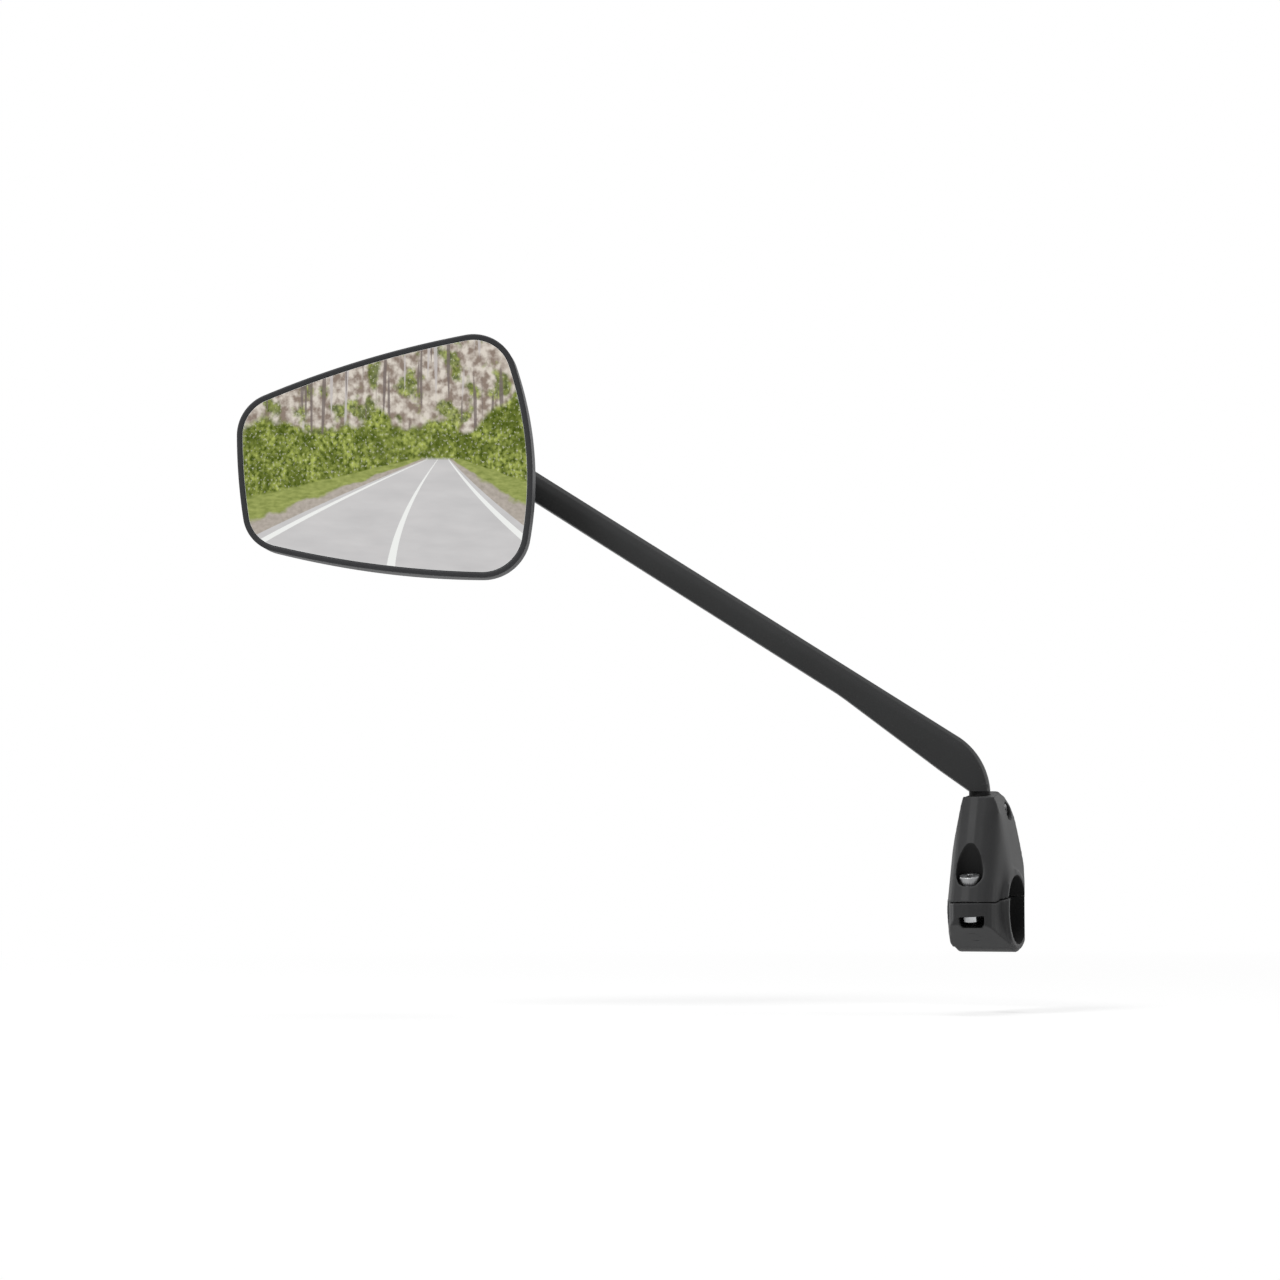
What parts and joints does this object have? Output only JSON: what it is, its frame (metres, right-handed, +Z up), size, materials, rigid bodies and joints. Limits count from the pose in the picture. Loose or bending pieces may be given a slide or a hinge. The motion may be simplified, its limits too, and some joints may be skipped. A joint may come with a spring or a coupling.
{
  "type": "bicycle mirror",
  "caption": "Handlebar mirror: rounded trapezoid mirror head on a ball joint, slanted arm turning in a pinch collar, hinged screw clamp for a handlebar.",
  "frame": {"origin": "on the handlebar axis, at the middle of the clamp", "axes": "+X along the handlebar to the rider's right, +Y forward away from the rider, +Z up; the mirror head stands out to -X and faces -Y"},
  "size_m": [0.2332, 0.1311, 0.199],
  "materials": {
    "black_plastic": "matt moulded black, fine grain",
    "arm_plastic": "matt moulded black, glass filled",
    "head_plastic": "matt moulded black",
    "liner_plastic": "natural acetal, smooth",
    "steel": "zinc plated, bright",
    "foam": "adhesive foam sheet",
    "mirror_glass": "silvered glass"
  },
  "bodies": {
    "clamp": {"clamp_tower": "black_plastic", "hinge_pin": "steel", "lock_screw": "steel", "lock_nut": "steel"},
    "jaw": {"lower_jaw": "black_plastic", "clamp_nut": "steel"},
    "screw": {"clamp_screw": "steel", "clamp_washer": "steel"},
    "arm_body": {"arm": "arm_plastic", "stem_spring": "steel", "stem_washer": "steel", "stem_screw": "steel"},
    "stud": {"ball_stud": "steel", "stud_washer": "steel", "stud_nut": "steel"},
    "liner": {"socket_liner": "liner_plastic"},
    "head": {"head_shell": "head_plastic", "socket_cap": "black_plastic", "cap_screws": "steel", "glass_pad": "foam", "mirror_glass": "mirror_glass"}
  },
  "joints": [
    {"name": "arm_swivel", "type": "hinge", "parent": "clamp", "child": "arm_body", "pos_m": [-0.0015, -0.0045, 0.03], "axis": [0, 0, 1], "continuous": true},
    {"name": "head_roll", "type": "hinge", "parent": "arm_body", "child": "stud", "pos_m": [-0.1666, -0.07281, 0.15987], "axis": [-0.3007, 0.9537, 0], "range_deg": [-30, 30]},
    {"name": "head_turn", "type": "hinge", "parent": "stud", "child": "liner", "pos_m": [-0.1666, -0.07281, 0.15987], "axis": [0, 0, 1], "range_deg": [-14, 14]},
    {"name": "head_tilt", "type": "hinge", "parent": "liner", "child": "head", "pos_m": [-0.1666, -0.07281, 0.15987], "axis": [0.9537, 0.3007, 0], "range_deg": [-14, 14]},
    {"name": "jaw_hinge", "type": "hinge", "parent": "clamp", "child": "jaw", "pos_m": [0, 0.0164, 0.0045], "axis": [1, 0, 0], "range_deg": [0, 40]},
    {"name": "clamp_screw_travel", "type": "slide", "parent": "clamp", "child": "screw", "axis": [0, -0.2588, 0.9659], "range_m": [0, 0.0244]}
  ],
  "couplings": [
    {"joint": "jaw_hinge", "follows": "clamp_screw_travel", "rad_per_m": 28.57}
  ]
}
